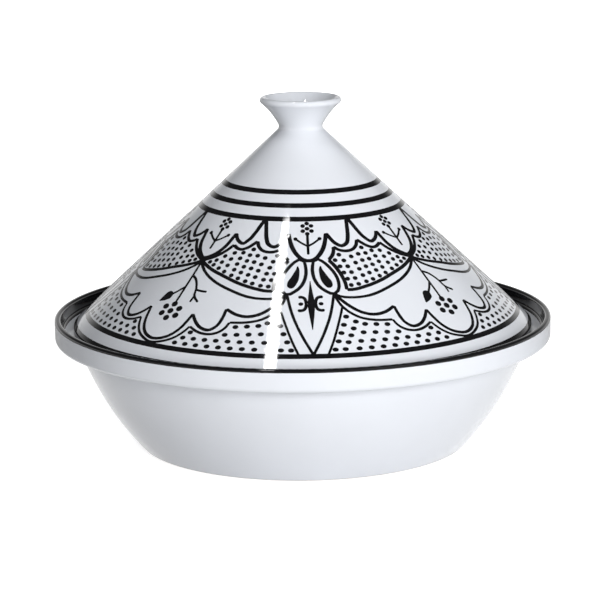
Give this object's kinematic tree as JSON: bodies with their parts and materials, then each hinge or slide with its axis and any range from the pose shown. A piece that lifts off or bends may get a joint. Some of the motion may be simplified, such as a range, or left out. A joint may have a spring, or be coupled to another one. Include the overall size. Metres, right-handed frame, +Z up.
{
  "type": "tagine pot",
  "caption": "Round glazed tagine pot: shallow dish with an upright collar and a ledge inside its lip, under a tall conical lid with a flared hollow knob and painted bands of scallops and dots.",
  "frame": {"origin": "on the pot's axis, at the surface that its foot ring stands on", "axes": "+Z up along the pot's axis, -Y towards the viewer of the picture, +X to their right"},
  "size_m": [0.31, 0.31, 0.2161],
  "materials": {
    "white_glaze": "glossy white glaze over stoneware",
    "lid_glaze": "glossy white glaze with black painted ornament"
  },
  "bodies": {
    "base": {"base_dish": "white_glaze"},
    "lid": {"conical_lid": "lid_glaze"}
  },
  "joints": [
    {"name": "lid_lift", "type": "slide", "parent": "base", "child": "lid", "axis": [0, 0, 1], "range_m": [0, 0.16]}
  ]
}
